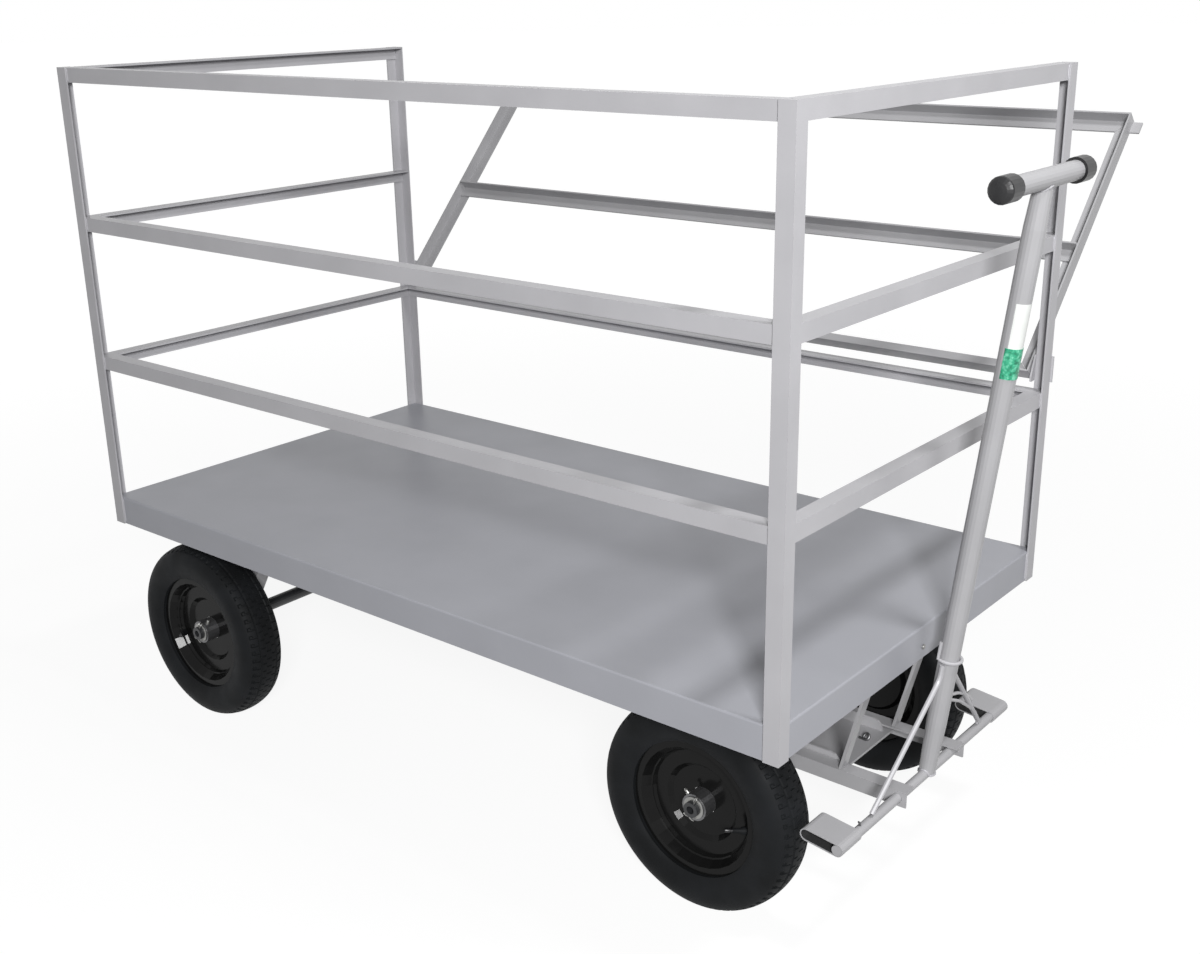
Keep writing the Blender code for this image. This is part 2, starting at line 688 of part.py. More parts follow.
def hinge_ear(name, edge, sign, cart):
    """Angle cleat on a far post, its outward leg carrying the gate's hinge pin."""
    face = WIDTH / 2 + GAP
    low = HINGE_Z - EAR_BELOW
    high = low + EAR_TALL
    near = LEG + GAP
    reach = [edge + sign * near, edge + sign * (near + EAR_SHEET)]
    outline = [(face - EAR_IN, low), (face + EAR_OUT, low), (face + EAR_OUT, low + EAR_NOSE),
               (face + EAR_SHEET, high), (face - EAR_SHEET, high), (face - EAR_IN, low + EAR_HEEL)]
    mesh = slab(name, outline, min(reach), max(reach))
    # Outlines are drawn in X and Z, so the leg is turned to stand across the post.
    for spot in mesh.vertices:
        spot.co = (spot.co.y, spot.co.x, spot.co.z)
    mesh.flip_normals()
    ear = put(name, mesh, paint(), cart)
    ends = (edge - sign * EAR_PAST, edge + sign * (near + EAR_SHEET / 2))
    back = box(name + "_back", (min(ends), face, low), (max(ends), face + EAR_SHEET, high))
    boolean(ear, cutter(name + "_back", back, cart), "UNION")
    pin = rod(name + "_pin", HINGE_PIN_R, near + EAR_SHEET / 2, GATE_END_GAP + 2 * WALL, PIN_STEPS)
    turn = -pi / 2 if sign > 0 else pi / 2
    boolean(ear, cutter(name + "_pin", pin, cart, (edge, WIDTH / 2 + HINGE_OUT, HINGE_Z),
                        (0.0, 0.0, turn)), "UNION")


def tyre_mesh():
    """Tyre section, solid between its beads, turned about the axle."""
    bead = RIM_SEAT + GAP
    foot = RIM_WIDE / 2 - RIM_SHEET - GAP
    lip = RIM_R + 2 * GAP
    side = TYRE_WIDE / 2
    tall = TYRE_R - lip
    shares = [(0.00, 0.76), (0.24, 0.96), (0.50, 1.00), (0.76, 0.92), (0.93, 0.66),
              (1.00, 0.26)]
    half = [(bead, foot), (lip, foot)] + [(lip + up * tall, out * side) for up, out in shares]
    section = half + [(r, -y) for r, y in reversed(half)]
    return turned("tyre", section, TYRE_STEPS)


def rim_mesh():
    """Pressed rim in one sheet: flanges, bead seats, well and a stepped disc."""
    t = RIM_SHEET
    h = RIM_WIDE / 2
    tread_side = [(RIM_R, h), (RIM_R, h - t), (RIM_SEAT, h - t), (WELL_R, WELL_HALF),
                  (WELL_R, -WELL_HALF), (RIM_SEAT, t - h), (RIM_R, t - h), (RIM_R, -h)]
    bore = HUB_R + GAP
    back = [(RIM_SEAT - t, -h), (WELL_R - t, -WELL_HALF), (WELL_R - t, DISC_OUT - t),
            (BOWL_R, DISC_OUT - t), (BOWL_R - BOWL_DEEP, DISC_OUT - BOWL_DEEP - t),
            (bore, DISC_OUT - BOWL_DEEP - t)]
    front = [(bore, DISC_OUT - BOWL_DEEP), (BOWL_R - BOWL_DEEP, DISC_OUT - BOWL_DEEP),
             (BOWL_R, DISC_OUT), (WELL_R - t, DISC_OUT), (RIM_SEAT - t, h)]
    return turned("rim", tread_side + back + front, RIM_STEPS)


def wheels(cart, steer):
    tyre = tyre_mesh()
    rim = rim_mesh()
    hub = rod("hub", HUB_R, -HUB_LONG / 2, HUB_LONG / 2, ROUND_STEPS, AXLE_R + PIN_PLAY)
    for end, parent, x, track in (("rear", cart, REAR_AXLE_X, REAR_TRACK),
                                  ("front", steer, 0.0, FRONT_TRACK)):
        for side, sign in (("near", -1), ("far", 1)):
            turn = pi if sign < 0 else 0.0
            place = (x, sign * track / 2, TYRE_R)
            axle = pivot("wheel_" + end + "_" + side, place, parent, (0.0, 0.0, turn))
            put("tyre_" + end + "_" + side, tyre, tyre_rubber(), axle)
            put("rim_" + end + "_" + side, rim, black_paint(), axle)
            put("hub_" + end + "_" + side, hub, steel(), axle)


def build():
    clear_scene()
    cart = pivot("cart", (-MIDDLE_X, -MIDDLE_Y, 0.0))
    posts(cart)
    rails(cart)
    deck(cart)
    bearers(cart)
    rear_axle(cart)
    upper_ring(cart)
    hinge_ear("hinge_ear_rear", 0.0, 1, cart)
    hinge_ear("hinge_ear_front", LENGTH, -1, cart)
    steer = pivot("steering_axis", (FRONT_AXLE_X, 0.0, 0.0), cart)
    lower_ring(steer)
    front_frame(steer)
    tow = pivot("drawbar_axis", (CROSSBAR_X, 0.0, CROSSBAR_Z), steer)
    lean = pivot("drawbar_lean", (0.0, 0.0, 0.0), tow, (0.0, DRAWBAR_LEAN, 0.0))
    drawbar(tow, lean)
    hinge = pivot("gate_axis", (0.0, WIDTH / 2 + HINGE_OUT, HINGE_Z), cart, (-GATE_OPEN, 0.0, 0.0))
    gate(hinge)
    wheels(cart, steer)


build()
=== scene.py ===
from math import cos, pi, radians, sin, sqrt

import bpy
import numpy as np
from mathutils import Matrix, Vector


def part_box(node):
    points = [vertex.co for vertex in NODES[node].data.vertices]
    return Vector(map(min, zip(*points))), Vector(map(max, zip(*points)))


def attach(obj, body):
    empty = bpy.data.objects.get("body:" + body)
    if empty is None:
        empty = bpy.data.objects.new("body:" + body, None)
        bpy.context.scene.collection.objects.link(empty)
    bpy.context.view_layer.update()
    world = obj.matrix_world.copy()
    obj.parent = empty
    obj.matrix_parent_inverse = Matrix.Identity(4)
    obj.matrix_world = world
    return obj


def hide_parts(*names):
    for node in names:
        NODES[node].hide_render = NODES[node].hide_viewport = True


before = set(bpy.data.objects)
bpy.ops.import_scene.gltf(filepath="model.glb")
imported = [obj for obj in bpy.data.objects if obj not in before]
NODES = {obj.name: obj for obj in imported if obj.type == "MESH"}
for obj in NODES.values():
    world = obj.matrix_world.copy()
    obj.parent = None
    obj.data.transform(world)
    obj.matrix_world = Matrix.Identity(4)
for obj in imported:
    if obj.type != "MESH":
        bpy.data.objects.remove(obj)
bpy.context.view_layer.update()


# Places read from the model, in metres
def mid(name):
    """The middle of a node's box."""
    low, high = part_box(name)
    return (low + high) / 2


DECK_LOW, DECK_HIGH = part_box("deck")
POST_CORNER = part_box("post_rear_near")[0]
ORIGIN = Vector((POST_CORNER.x, POST_CORNER.y, 0.0))      # outer corner of the rear near post, on the floor
LEFT = Vector((0.0, 1.0, 0.0))                            # from the near side to the gate side


def at(x, y, z):
    """A point given along the cart, across it and up from the floor."""
    return ORIGIN + Vector((x, y, z))


# Camera, solved from the straight edges in the photograph
SENSOR_WIDTH_MM = 36.0
LENS_MM = 43.16
CLIP_NEAR = 0.05
CLIP_FAR = 100.0
CAMERA_PLACE = (2.38895, -1.41567, 1.35045)
CAMERA_RIGHT = (0.77366, 0.63341, -0.01587)
CAMERA_AHEAD = (-0.60266, 0.72792, -0.32701)


def make_camera():
    data = bpy.data.cameras.new("camera")
    data.sensor_width = SENSOR_WIDTH_MM
    data.lens = LENS_MM
    data.clip_start = CLIP_NEAR
    data.clip_end = CLIP_FAR
    cam = bpy.data.objects.new("camera", data)
    ahead = Vector(CAMERA_AHEAD).normalized()
    up = Vector(CAMERA_RIGHT).normalized().cross(ahead).normalized()
    right = ahead.cross(up).normalized()
    turn = Matrix((right, up, -ahead)).transposed().to_4x4()
    cam.matrix_world = Matrix.Translation(at(*CAMERA_PLACE)) @ turn
    bpy.context.collection.objects.link(cam)
    bpy.context.scene.camera = cam


# Materials
def add_node(tree, kind, **values):
    """A shader node with its settings, and its inputs' values with _ in place of a space."""
    node = tree.nodes.new(kind)
    for key, value in values.items():
        if hasattr(node, key):
            setattr(node, key, value)
        else:
            node.inputs[key.replace("_", " ")].default_value = value
    return node


class Shader:
    """Small helper round one Principled material."""

    def __init__(self, name):
        self.mat = bpy.data.materials.new(name)
        self.mat.use_nodes = True
        self.tree = self.mat.node_tree
        self.bsdf = self.tree.nodes["Principled BSDF"]

    def add(self, kind, **values):
        return add_node(self.tree, kind, **values)

    def link(self, out, into):
        self.tree.links.new(out, into)

    def feed(self, name, out):
        self.link(out, self.bsdf.inputs[name])

    def set(self, name, value):
        self.bsdf.inputs[name].default_value = value

    def noise(self, scale, detail=3.0):
        coord = self.add("ShaderNodeTexCoord")
        noise = self.add("ShaderNodeTexNoise", Scale=scale, Detail=detail)
        self.link(coord.outputs["Object"], noise.inputs["Vector"])
        return noise.outputs["Fac"]

    def ramp(self, fac, stops):
        """Colours at places from 0 to 1 along a value."""
        ramp = self.add("ShaderNodeValToRGB")
        elements = ramp.color_ramp.elements
        while len(elements) < len(stops):
            elements.new(0.5)
        for element, (place, colour) in zip(elements, stops):
            element.position = place
            element.color = (*colour, 1.0)
        self.link(fac, ramp.inputs["Fac"])
        return ramp.outputs["Color"]

    def range(self, fac, low, high):
        """A value from 0 to 1 stretched between two others."""
        node = self.add("ShaderNodeMapRange", To_Min=low, To_Max=high)
        self.link(fac, node.inputs["Value"])
        return node.outputs["Result"]

    def bump(self, fac, distance):
        node = self.add("ShaderNodeBump", Distance=distance, Strength=1.0)
        self.link(fac, node.inputs["Height"])
        self.feed("Normal", node.outputs["Normal"])


def painted(name, colour, rough=0.33, spread=0.05, peel=0.00003):
    """Sprayed paint: a faint patchiness, an orange-peel surface and uneven gloss."""
    s = Shader(name)
    dark = tuple(c * (1 - spread) for c in colour)
    light = tuple(min(1.0, c * (1 + spread)) for c in colour)
    s.feed("Base Color", s.ramp(s.noise(scale=9.0, detail=4.0), [(0.3, dark), (0.7, light)]))
    s.feed("Roughness", s.range(s.noise(scale=14.0), low=rough - 0.05, high=rough + 0.06))
    s.bump(s.noise(scale=420.0, detail=2.0), distance=peel)
    s.set("Specular IOR Level", 0.30)
    return s.mat


def gloss_black():
    """Glossy black on the rims, a little wavy."""
    s = Shader("rim black")
    s.set("Base Color", (0.007, 0.007, 0.007, 1.0))
    s.feed("Roughness", s.range(s.noise(scale=30.0), low=0.10, high=0.22))
    s.bump(s.noise(scale=55.0, detail=2.0), distance=0.00012)
    s.set("Specular IOR Level", 0.10)
    return s.mat


def rubber():
    """Matt rubber with a fine grain, dusty in patches."""
    s = Shader("tyre rubber")
    clean = (0.006, 0.0065, 0.007)
    dusty = (0.011, 0.012, 0.0135)
    s.feed("Base Color", s.ramp(s.noise(scale=16.0, detail=5.0), [(0.35, clean), (0.70, dusty)]))
    s.feed("Roughness", s.range(s.noise(scale=40.0, detail=4.0), low=0.50, high=0.72))
    s.bump(s.noise(scale=900.0, detail=2.0), distance=0.00004)
    s.set("Specular IOR Level", 0.10)
    return s.mat


def plain(name, colour, rough, metallic=0.0, bump=0.0, grain=200.0):
    """Any small part's material: slightly uneven in colour and gloss, with a grain if bump says so."""
    s = Shader(name)
    s.set("Metallic", metallic)
    dark = tuple(c * 0.88 for c in colour)
    s.feed("Base Color", s.ramp(s.noise(scale=25.0, detail=4.0), [(0.3, dark), (0.7, colour)]))
    s.feed("Roughness", s.range(s.noise(scale=60.0), low=rough - 0.05, high=rough + 0.05))
    if bump:
        s.bump(s.noise(scale=grain), distance=bump)
    return s.mat


def film():
    """Crumpled shiny film; dark, middle and light green close together in its colour are painted shade and
    painted highlights of its folds.
    """
    s = Shader("green film")
    # Painted fold shade and highlights: green from dark to light at random, close together.
    fold_light_and_shade = [(0.36, (0.008, 0.17, 0.09)), (0.52, (0.03, 0.36, 0.20)), (0.66, (0.16, 0.58, 0.38))]
    s.feed("Base Color", s.ramp(s.noise(scale=150.0, detail=2.0), fold_light_and_shade))
    s.set("Roughness", 0.16)
    s.bump(s.noise(scale=110.0, detail=2.0), distance=0.0010)
    return s.mat


GREY = painted("grey paint", (0.44, 0.436, 0.455))
# A darker copy of the grey paint: painted shade on the steering parts, the drawbar and the gate.
SHADED_GREY = painted("grey paint darkened as painted shade", (0.38, 0.378, 0.39))
DECK = painted("deck paint", (0.355, 0.360, 0.392), rough=0.38, spread=0.03, peel=0.00002)
BLACK = gloss_black()
AXLE = plain("axle black", (0.020, 0.021, 0.023), rough=0.42)
# Near black inside the brake shoes: painted shade.
SHOE_SHADE_PAINT = plain("painted shade in the shoes", (0.030, 0.030, 0.031), rough=0.60)
RUBBER = rubber()
STEEL = plain("worn steel", (0.16, 0.16, 0.165), rough=0.42, metallic=0.85, bump=0.00008)
ZINC = plain("zinc plate", (0.30, 0.30, 0.29), rough=0.38, metallic=0.9)
CAP = plain("cap plastic", (0.007, 0.007, 0.008), rough=0.34, bump=0.00005, grain=300.0)
WELD = plain("painted weld", (0.43, 0.425, 0.45), rough=0.42, bump=0.0003, grain=500.0)
LABEL = plain("label paper", (0.80, 0.82, 0.80), rough=0.45)
GREEN = film()

# A node takes the first material here whose words its name starts with, and GREY if none fits.
LOOKS = [(("deck",), DECK), (("rim_",), BLACK), (("tyre_",), RUBBER), (("hub_",), STEEL),
         (("rear_axle", "front_axle"), AXLE), (("grip_cap",), CAP),
         (("tow_arm", "strut", "brake_shoe", "axle_saddle", "turntable_lower",
           "crossbar", "drawbar_tube", "grip", "gate_"), SHADED_GREY)]


def dress_nodes():
    for name, node in NODES.items():
        mat = next((look for starts, look in LOOKS if name.startswith(starts)), GREY)
        for i in range(len(node.data.materials)):
            node.data.materials[i] = mat


# Mesh helpers
def piece(name, verts, faces, mat, body, sharp=35.0):
    """One smooth mesh that rides on a body; edges bent by more than sharp degrees stay crisp."""
    mesh = bpy.data.meshes.new(name)
    mesh.from_pydata([tuple(v) for v in verts], [], faces)
    mesh.materials.append(mat)
    mesh.validate()
    mesh.shade_smooth()
    mesh.set_sharp_from_angle(angle=radians(sharp))
    obj = bpy.data.objects.new(name, mesh)
    bpy.context.collection.objects.link(obj)
    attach(obj, body)
    return obj


def circle(centre, side, other, radius, steps):
    """Points round a centre, in the plane of two directions."""
    return [centre + (side * cos(2 * pi * k / steps) + other * sin(2 * pi * k / steps)) * radius
            for k in range(steps)]


class Soup:
    """Collects simple forms into one mesh."""

    def __init__(self):
        self.v = []
        self.f = []

    def grid(self, rings, caps=True):
        """Skin over rings that have equally many points, closed at both ends with caps."""
        base = len(self.v)
        n = len(rings[0])
        for ring in rings:
            self.v.extend(ring)
        for k in range(len(rings) - 1):
            for i in range(n):
                j = (i + 1) % n
                self.f.append((base + k * n + i, base + k * n + j,
                               base + (k + 1) * n + j, base + (k + 1) * n + i))
        if caps:
            self.f.append(tuple(base + i for i in reversed(range(n))))
            self.f.append(tuple(base + (len(rings) - 1) * n + i for i in range(n)))

    def lathe(self, origin, axis, profile, steps=24, caps=True):
        """Turned form; the profile holds (radius, distance along the axis) from end to end."""
        axis = Vector(axis).normalized()
        side = axis.orthogonal().normalized()
        other = axis.cross(side)
        self.grid([circle(Vector(origin) + axis * h, side, other, r, steps) for r, h in profile], caps)

    def tube(self, path, radius, steps=10):
        """Round wire along a path; the radius is one number or one for each point."""
        path = [Vector(p) for p in path]
        rings = []
        side = None
        for k, p in enumerate(path):
            ahead = (path[min(k + 1, len(path) - 1)] - path[max(k - 1, 0)]).normalized()
            if side is None:
                side = ahead.orthogonal().normalized()
            else:
                side = (side - ahead * side.dot(ahead)).normalized()
            r = radius[k] if isinstance(radius, (list, tuple)) else radius
            rings.append(circle(p, side, ahead.cross(side), r, steps))
        self.grid(rings)

    def make(self, name, mat, body):
        return piece(name, self.v, self.f, mat, body)


def sweep(start, stop, points):
    """Angles from start to stop in degrees, as radians."""
    return np.linspace(radians(start), radians(stop), points)


# Weld beads: the shares of a bead's radius that its ripples, chance and ends give it
BEAD_SIDES = 8
RIPPLE_LENGTH = 0.0016
LEAST_SHARE = 0.86
RIPPLE_SHARE = 0.22
RIPPLE_TURN = 1.3
CHANCE_SHARE = 0.08
END_SHARE = 0.45
SWELL_SHARE = 0.2


def weld_bead(soup, start, end, radius, seed):
    """A straight rippled bead between two points, thinner at its ends."""
    start = Vector(start)
    end = Vector(end)
    n = max(6, int((end - start).length / RIPPLE_LENGTH))
    rng = np.random.default_rng(seed)
    path = []
    radii = []
    for k in range(n + 1):
        path.append(start.lerp(end, k / n))
        ripple = RIPPLE_SHARE * abs(sin(k * RIPPLE_TURN))
        swell = radius * (LEAST_SHARE + ripple + CHANCE_SHARE * rng.random())
        radii.append(swell * (END_SHARE if k in (0, n) else 1.0))
    soup.tube(path, radii, BEAD_SIDES)


def rippled(radius, count, ripple, phase=0):
    """Radii of a bead that swells and thins evenly along its points."""
    return [radius * (1 + SWELL_SHARE * sin(ripple * k + phase)) for k in range(count)]


# Tyres. A section from bead to bead is turned round the axle, and the tread is pressed into it.
TYRE_MARGIN = 0.0002           # the rubber stays inside the model's box by this
LIP_RISE = 0.0006              # the sidewall starts above the rim's edge
LIP_CORNER = 0.0008
FOOT_INSET = 0.0036            # the bead's foot stands inside the rim's outer face
BEAD_DROP = 0.0086
FOOT_SHARE = 0.76              # half width where the rubber leaves the rim
CURVE_STEPS = 5
# Shares of the section's height and half width, from the rim's lip to the crown
SIDEWALL_SHARES = [(0.00, 0.80), (0.10, 0.89), (0.25, 0.965), (0.45, 1.00), (0.62, 0.97), (0.76, 0.885),
                   (0.86, 0.775), (0.925, 0.62), (0.97, 0.42), (0.994, 0.20), (1.00, 0.00)]

# Tread: distances from the crown along the section, and shares of one pitch round the tyre
PITCHES = 66
SECTION_MARKS = [0.0045, 0.0060, 0.0145, 0.0160, 0.0185, 0.0200, 0.0300, 0.0330]
MIN_STEP = 0.0006              # rows closer than this are left out
PITCH_SHARES = [0.00, 0.05, 0.16, 0.21, 0.34, 0.50, 0.55, 0.66, 0.71, 0.84]
CUT_SHARES = (0.04, 0.17)      # a cut's sides within a pitch
CUT_DEPTH = 0.0016
CENTRE_CUTS = (-1.0, 0.0052)   # starts below zero, so that the crown itself is cut
MIDDLE_CUTS = (0.0062, 0.0152)
SHOULDER_CUTS = (0.0192, 0.0318)
CUT_ROWS = [(CENTRE_CUTS, 0.0), (MIDDLE_CUTS, 0.5), (SHOULDER_CUTS, 0.0)]     # with each row's start
GROOVES = [(0.0048, 0.0058), (0.0148, 0.0197)]
NOTCH_BAND = (0.0275, 0.0335)
NOTCH_SHARES = (0.04, 0.37)
NOTCH_DEPTH = 0.0024
TREAD_END = 0.034              # nothing is pressed in beyond this
TREAD_TURN = 0.37              # each wheel stands turned by this much more


def spline(points, per):
    """Points on a smooth curve through the given ones."""
    pts = [points[0]] + list(points) + [points[-1]]
    out = []
    for a, b, c, d in zip(pts, pts[1:], pts[2:], pts[3:]):
        for k in range(per):
            t = k / per
            out.append(tuple(0.5 * (2 * q + (r - p) * t + (2 * p - 5 * q + 4 * r - s) * t * t
                                    + (3 * q - p - 3 * r + s) * t ** 3)
                             for p, q, r, s in zip(a, b, c, d)))
    out.append(tuple(points[-1]))
    return out


def tyre_section(outer, side, lip, foot):
    """Half section from the bead to the crown as (radius, side distance)."""
    tall = outer - lip
    curve = spline([(lip + u * tall, v * side) for u, v in SIDEWALL_SHARES], CURVE_STEPS)
    return [(lip - BEAD_DROP, foot), (lip - LIP_CORNER, foot), (lip + LIP_RISE, side * FOOT_SHARE)] + curve


def with_marks(arc):
    """The section's distances from the crown, with rows added where the tread's edges fall."""
    marks = sorted(SECTION_MARKS + [-m for m in SECTION_MARKS])
    every = sorted(set(np.round(np.concatenate([arc, marks]), 6)))
    keep = [every[0]]
    for place in every[1:]:
        if place - keep[-1] > MIN_STEP:
            keep.append(place)
    return np.array(keep)


def tread_depths(phase, arc):
    """How deep each point is pressed in: one row for each angle, one column for each place."""
    def between(values, limits):
        return (values > limits[0]) & (values < limits[1])

    off = np.abs(arc)
    deep = np.zeros((len(phase), len(arc)))
    for band, start in CUT_ROWS:
        deep[np.ix_(between((phase - start) % 1.0, CUT_SHARES), between(off, band))] = CUT_DEPTH
    deep[np.ix_(between(phase, NOTCH_SHARES), between(off, NOTCH_BAND))] = NOTCH_DEPTH
    for band in GROOVES:
        deep[:, between(off, band)] = CUT_DEPTH
    deep[:, off > TREAD_END] = 0.0
    return deep


def tyre_mesh(name, body, turn):
    low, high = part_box(name)
    centre = (low + high) / 2
    outer = (high.z - low.z) / 2 - TYRE_MARGIN
    side = ((high.y - low.y) - 2 * TYRE_MARGIN) / 2
    rim_low, rim_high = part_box(name.replace("tyre", "rim"))
    lip = (rim_high.z - rim_low.z) / 2 + LIP_RISE
    foot = (rim_high.y - rim_low.y) / 2 - FOOT_INSET
    half = tyre_section(outer, side, lip, foot)
    section = np.array(half + [(r, -y) for r, y in reversed(half[:-1])])
    steps = np.hypot(*np.diff(section, axis=0).T)
    arc = np.concatenate([[0.0], np.cumsum(steps)])
    arc -= arc[len(half) - 1]
    rows = with_marks(arc)
    radii = np.interp(rows, arc, section[:, 0])
    sides = np.interp(rows, arc, section[:, 1])
    # Directions square to the section, turned away from the rubber's middle
    tangent = np.stack([np.gradient(radii), np.gradient(sides)], 1)
    tangent /= np.linalg.norm(tangent, axis=1)[:, None]
    normal = np.stack([-tangent[:, 1], tangent[:, 0]], 1)
    inward = normal[:, 0] * (radii - (lip + outer) / 2) + normal[:, 1] * sides < 0
    normal[inward] *= -1
    angles = np.array([(p + m) / PITCHES * 2 * pi for p in range(PITCHES) for m in PITCH_SHARES])
    deep = tread_depths(np.tile(np.array(PITCH_SHARES), PITCHES), rows)
    radius = radii[None, :] - normal[:, 0][None, :] * deep
    across = sides[None, :] - normal[:, 1][None, :] * deep
    xs = centre.x + radius * np.cos(angles + turn)[:, None]
    zs = centre.z + radius * np.sin(angles + turn)[:, None]
    verts = np.stack([xs, centre.y + across, zs], -1).reshape(-1, 3)
    n = len(rows)
    m = len(angles)
    faces = []
    for k in range(m):
        k2 = (k + 1) % m
        for i in range(n):
            i2 = (i + 1) % n
            faces.append((k * n + i, k2 * n + i, k2 * n + i2, k * n + i2))
    obj = piece(name + "_tread", verts, faces, RUBBER, body, sharp=32.0)
    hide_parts(name)


# What is on each wheel and on its axle's end. Profiles are (radius, distance along the axis).
WHEELS = [("rear", "near", -1), ("rear", "far", 1), ("front", "near", -1), ("front", "far", 1)]
WASHER_PROFILE = [(0.0126, 0.0003), (0.0175, 0.0003), (0.0180, 0.0006), (0.0180, 0.0022),
                  (0.0174, 0.0026), (0.0126, 0.0026)]
NIPPLE_PROFILE = [(0.0040, 0.0), (0.0040, 0.0030), (0.0026, 0.0035), (0.0026, 0.0065),
                  (0.0032, 0.0075), (0.0018, 0.0100)]
VALVE_FOOT_PROFILE = [(0.0065, -0.002), (0.0062, 0.004), (0.0040, 0.008), (0.0036, 0.020)]
VALVE_CAP_PROFILE = [(0.0030, 0.0), (0.0030, 0.004), (0.0038, 0.0045), (0.0038, 0.0105), (0.0030, 0.0125)]
PIN_LEAN = radians(20)
PIN_EYE = 0.0042
PIN_EYE_START = 0.0165
PIN_EYE_WIRE = 0.0012
PIN_NECK = (0.0175, 0.0120)
PIN_NECK_WIRE = 0.0016
PIN_LEG_WIRE = 0.0011
# Each leg of the split pin: distance below the axle's middle, and how far it is spread
PIN_LEG = [(0.0118, 0.0), (0.0145, 0.0), (0.0165, 0.002), (0.0175, 0.0065), (0.0165, 0.0100)]
PIN_SHIFT = 0.0005
NIPPLE_SIDE = 0.0185
NIPPLE_FOOT = 0.0210
NIPPLE_TURN = (58, 40)         # degrees on the first wheel, and more for each next one
VALVE_TURN = (200, 75)
VALVE_RADIUS = 0.0845
VALVE_SIDE = 0.0125
VALVE_OUT = 0.72
VALVE_DOWN = 0.70
VALVE_CAP_START = 0.0195


def square_to_axle(first_and_step, n):
    """A direction away from the axle, turned further on each wheel."""
    first, step = first_and_step
    turn = radians(first + step * n)
    return Vector((cos(turn), 0.0, sin(turn)))


def split_pin(label, root, out, carrier):
    """Pin through the axle's end: round eye above, two legs bent apart below."""
    soup = Soup()
    lean = Vector((sin(PIN_LEAN), 0.0, cos(PIN_LEAN)))
    across = out.cross(lean)
    eye = [root + lean * (PIN_EYE_START + PIN_EYE + PIN_EYE * sin(a)) + out * PIN_EYE * cos(a)
           for a in sweep(start=-80, stop=260, points=16)]
    soup.tube(eye, PIN_EYE_WIRE, steps=8)
    soup.tube([root + lean * reach for reach in PIN_NECK], PIN_NECK_WIRE, steps=8)
    for turn in (-1, 1):
        soup.tube([root - lean * drop + across * turn * spread for drop, spread in PIN_LEG],
                  PIN_LEG_WIRE, steps=8)
    soup.make("split_pin_" + label, ZINC, carrier)


def wheel_details():
    for n, (end, side, sign) in enumerate(WHEELS):
        label = end + "_" + side
        body = "wheel_" + label
        carrier = "chassis" if end == "rear" else "front_steer"
        out = Vector((0.0, sign, 0.0))
        centre = mid("hub_" + label)
        # The outer faces of hub and axle: the far ends of their boxes on the far side, else the near ends
        outer_end = 1 if sign > 0 else 0
        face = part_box("hub_" + label)[outer_end].y
        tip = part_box(end + "_axle")[outer_end].y
        tyre_mesh("tyre_" + label, body, TREAD_TURN * n)
        soup = Soup()
        soup.lathe((centre.x, face, centre.z), out, WASHER_PROFILE, steps=32, caps=False)
        soup.make("washer_" + label, ZINC, carrier)
        split_pin(label, Vector((centre.x, (face + tip) / 2 + sign * PIN_SHIFT, centre.z)), out, carrier)
        # Grease nipple on the hub
        radial = square_to_axle(NIPPLE_TURN, n)
        soup = Soup()
        soup.lathe(centre + out * NIPPLE_SIDE + radial * NIPPLE_FOOT, radial, NIPPLE_PROFILE, steps=16)
        soup.make("nipple_" + label, ZINC, body)
        # Valve: a rubber foot in the rim, leaning inward, and the cap on it
        radial = square_to_axle(VALVE_TURN, n)
        wall = centre + radial * VALVE_RADIUS + out * VALVE_SIDE
        lean = (out * VALVE_OUT - radial * VALVE_DOWN).normalized()
        soup = Soup()
        soup.lathe(wall, lean, VALVE_FOOT_PROFILE, steps=16)
        soup.make("valve_foot_" + label, RUBBER, body)
        soup = Soup()
        soup.lathe(wall + lean * VALVE_CAP_START, lean, VALVE_CAP_PROFILE, steps=16)
        soup.make("valve_cap_" + label, CAP, body)


# Weld beads and small parts of the frame
RAILS = [("near", "low"), ("near", "mid"), ("near", "top"), ("front", "low"), ("front", "mid"),
         ("front", "top"), ("rear", "low"), ("rear", "mid"), ("rear", "top"), ("far", "low")]
POSTS = [("post_rear_near", 1, 1), ("post_front_near", -1, 1),
         ("post_rear_far", 1, -1), ("post_front_far", -1, -1)]
RAIL_BEAD = 0.0011
RAIL_BEAD_IN = 0.0225          # from the rail's end to the edge of the post's leg
RAIL_BEAD_END = 0.002
POST_BEAD = 0.0014
POST_BEAD_IN = 0.0255          # just past the edge of the post's leg
POST_SIDE_SEED = 30
POST_END_SEED = 40
SKIRT_TOP = DECK_HIGH.z - 0.004
SKIRT_BASE = DECK_LOW.z + 0.003
PROUD = 0.0002                 # beads stand this far off the rails' faces
AXLE_BEAD = 0.0012
AXLE_BEAD_RADIUS = 0.0134
AXLE_BEAD_OFF = 0.0004
SCREW_PLACE = (1.5082, 0.4062, 0.3909)
SCREW_PROFILE = [(0.0042, 0.0), (0.0042, 0.0010), (0.0034, 0.0021), (0.0018, 0.0026)]
EYE_PLACE = (0.114, 0.025)     # from the turntable's middle
EYE_SEAT = 0.0043              # above the saddle's underside
EYE_TAIL = (-0.008, -0.002)    # the wire starts here, measured from the eye's place
EYE_SHIFT = 0.004
EYE_WIDE = 0.0045              # half sizes of the eye along the cart, across it and up
EYE_SKEW = 0.003
EYE_TALL = 0.0042
EYE_LIFT = 0.0022
EYE_WIRE = 0.0021


